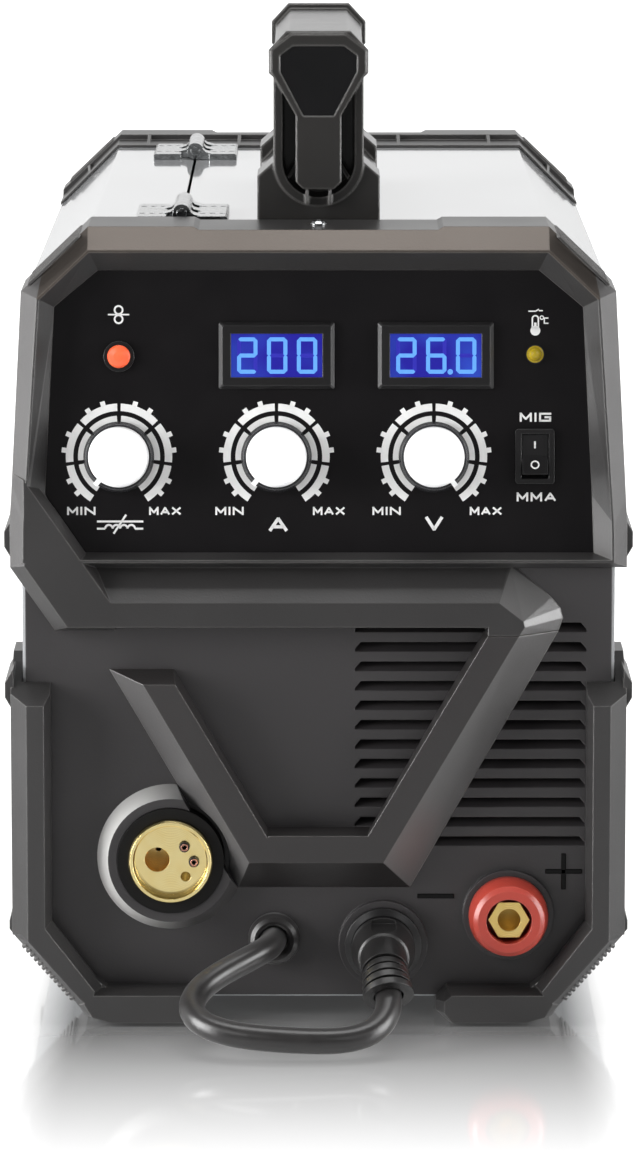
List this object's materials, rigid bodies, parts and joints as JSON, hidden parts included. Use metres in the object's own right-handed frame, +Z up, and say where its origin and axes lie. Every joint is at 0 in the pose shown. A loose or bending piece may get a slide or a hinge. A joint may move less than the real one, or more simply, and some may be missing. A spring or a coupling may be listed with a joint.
{
  "type": "MIG welding machine",
  "caption": "Portable wire-feed welding machine: sheet-metal case between moulded ends, leaning control panel, front sockets, carrying handle and a hinged side door over the wire drive.",
  "frame": {"origin": "centre of the case's bounding box at floor level, the cord left out", "axes": "+Z up, -Y out of the control panel's side, +X to the right as the front is looked at"},
  "size_m": [0.253, 0.5372, 0.397],
  "materials": {
    "cover_plastic": "fine grain",
    "frame_plastic": "fine grain",
    "white_sheet": "gloss powder coat",
    "bare_sheet": "zinc plated",
    "panel_black": "printed overlay",
    "black_plastic": "satin",
    "knob_black": "satin",
    "knob_white": "satin",
    "display_blue": "clear window over a lit display",
    "button_orange": "gloss",
    "lamp_yellow": "translucent",
    "brass": "machined",
    "red_plastic": "satin",
    "cord_rubber": "smooth",
    "gloss_black": "high gloss",
    "zinc": "bright zinc",
    "steel": "turned",
    "aluminium": "extruded",
    "copper_red": "varnished winding",
    "board_green": "solder mask"
  },
  "bodies": {
    "chassis": {"base_pan": "bare_sheet", "partition": "bare_sheet", "fixed_cover": "white_sheet", "front_cover": "cover_plastic", "front_frame": "frame_plastic", "front_brace": "frame_plastic", "front_guards": "frame_plastic", "rear_cover": "cover_plastic", "rear_frame": "frame_plastic", "rear_guards": "frame_plastic", "control_panel": "panel_black", "display_bezels": "black_plastic", "display_lenses": "display_blue", "button_collar": "black_plastic", "overheat_lamp": "lamp_yellow", "mode_switch_frame": "black_plastic", "potentiometers": "steel", "torch_insulator": "black_plastic", "torch_socket": "brass", "torch_contacts": "black_plastic", "plus_ring": "red_plastic", "minus_ring": "black_plastic", "socket_contacts": "brass", "cord_grommet": "cord_rubber", "polarity_cord": "cord_rubber", "polarity_plug": "cord_rubber", "handle": "black_plastic", "handle_badge": "gloss_black", "case_screws": "zinc", "hinge_leaves_fixed": "zinc", "hinge_pins": "steel", "feeder_plate": "black_plastic", "feed_motor": "steel", "spool_spindle": "steel", "gas_valve": "brass", "transformer": "copper_red", "heat_sinks": "aluminium", "main_board": "board_green", "fan_frame": "black_plastic", "power_switch_frame": "black_plastic", "mains_gland": "black_plastic", "gas_inlet": "brass"},
    "side_door": {"door_panel": "white_sheet", "hinge_leaves_door": "zinc"},
    "latch": {"door_latch": "black_plastic"},
    "knob_left": {"knob_1": "knob_black", "knob_1_cap": "knob_white"},
    "knob_middle": {"knob_2": "knob_black", "knob_2_cap": "knob_white"},
    "knob_right": {"knob_3": "knob_black", "knob_3_cap": "knob_white"},
    "wire_button": {"inch_button": "button_orange"},
    "mode_switch": {"mode_rocker": "black_plastic"},
    "power_switch": {"power_rocker": "red_plastic"},
    "hub": {"spool_hub": "black_plastic"},
    "feed_roll": {"drive_roll": "steel"},
    "arm": {"pressure_arm": "aluminium"},
    "idle_roll": {"pressure_roll": "steel"},
    "tension": {"tension_knob": "red_plastic"},
    "fan": {"fan_rotor": "black_plastic"}
  },
  "joints": [
    {"name": "door_hinge", "type": "hinge", "parent": "chassis", "child": "side_door", "pos_m": [-0.056, 0.005, 0.3221], "axis": [0, 1, 0], "range_deg": [0, 100]},
    {"name": "latch_turn", "type": "hinge", "parent": "side_door", "child": "latch", "pos_m": [-0.12, 0.005, 0.058], "axis": [-1, 0, 0], "range_deg": [0, 90]},
    {"name": "left_knob_turn", "type": "hinge", "parent": "chassis", "child": "knob_left", "pos_m": [-0.0802, -0.21441, 0.2298], "axis": [0, 0.9925, -0.1219], "range_deg": [-7, 287]},
    {"name": "middle_knob_turn", "type": "hinge", "parent": "chassis", "child": "knob_middle", "pos_m": [-0.0169, -0.21441, 0.2298], "axis": [0, 0.9925, -0.1219], "range_deg": [-7, 287]},
    {"name": "right_knob_turn", "type": "hinge", "parent": "chassis", "child": "knob_right", "pos_m": [0.0464, -0.21441, 0.2298], "axis": [0, 0.9925, -0.1219], "range_deg": [-290, 4]},
    {"name": "button_press", "type": "slide", "parent": "chassis", "child": "wire_button", "axis": [0, 0.9925, -0.1219], "range_m": [0, 0.0025], "stiffness_N_per_m": 400},
    {"name": "mode_rock", "type": "hinge", "parent": "chassis", "child": "mode_switch", "pos_m": [0.087, -0.2124, 0.22976], "axis": [1, 0, 0], "range_deg": [0, 20]},
    {"name": "power_rock", "type": "hinge", "parent": "chassis", "child": "power_switch", "pos_m": [-0.066, 0.217, 0.25], "axis": [-1, 0, 0], "range_deg": [0, 20]},
    {"name": "hub_spin", "type": "hinge", "parent": "chassis", "child": "hub", "pos_m": [-0.056, 0.087, 0.182], "axis": [1, 0, 0], "continuous": true},
    {"name": "feed_roll_spin", "type": "hinge", "parent": "chassis", "child": "feed_roll", "pos_m": [-0.0653, -0.117, 0.0523], "axis": [1, 0, 0], "continuous": true},
    {"name": "arm_lift", "type": "hinge", "parent": "chassis", "child": "arm", "pos_m": [-0.053, -0.151, 0.0867], "axis": [1, 0, 0], "range_deg": [0, 40]},
    {"name": "idle_roll_spin", "type": "hinge", "parent": "arm", "child": "idle_roll", "pos_m": [-0.0653, -0.117, 0.0786], "axis": [1, 0, 0], "continuous": true},
    {"name": "tension_turn", "type": "hinge", "parent": "arm", "child": "tension", "pos_m": [-0.053, -0.083, 0.1086], "axis": [0, 0, 1], "range_deg": [0, 350]},
    {"name": "fan_spin", "type": "hinge", "parent": "chassis", "child": "fan", "pos_m": [0.046, 0.2, 0.112], "axis": [0, 1, 0], "continuous": true}
  ]
}
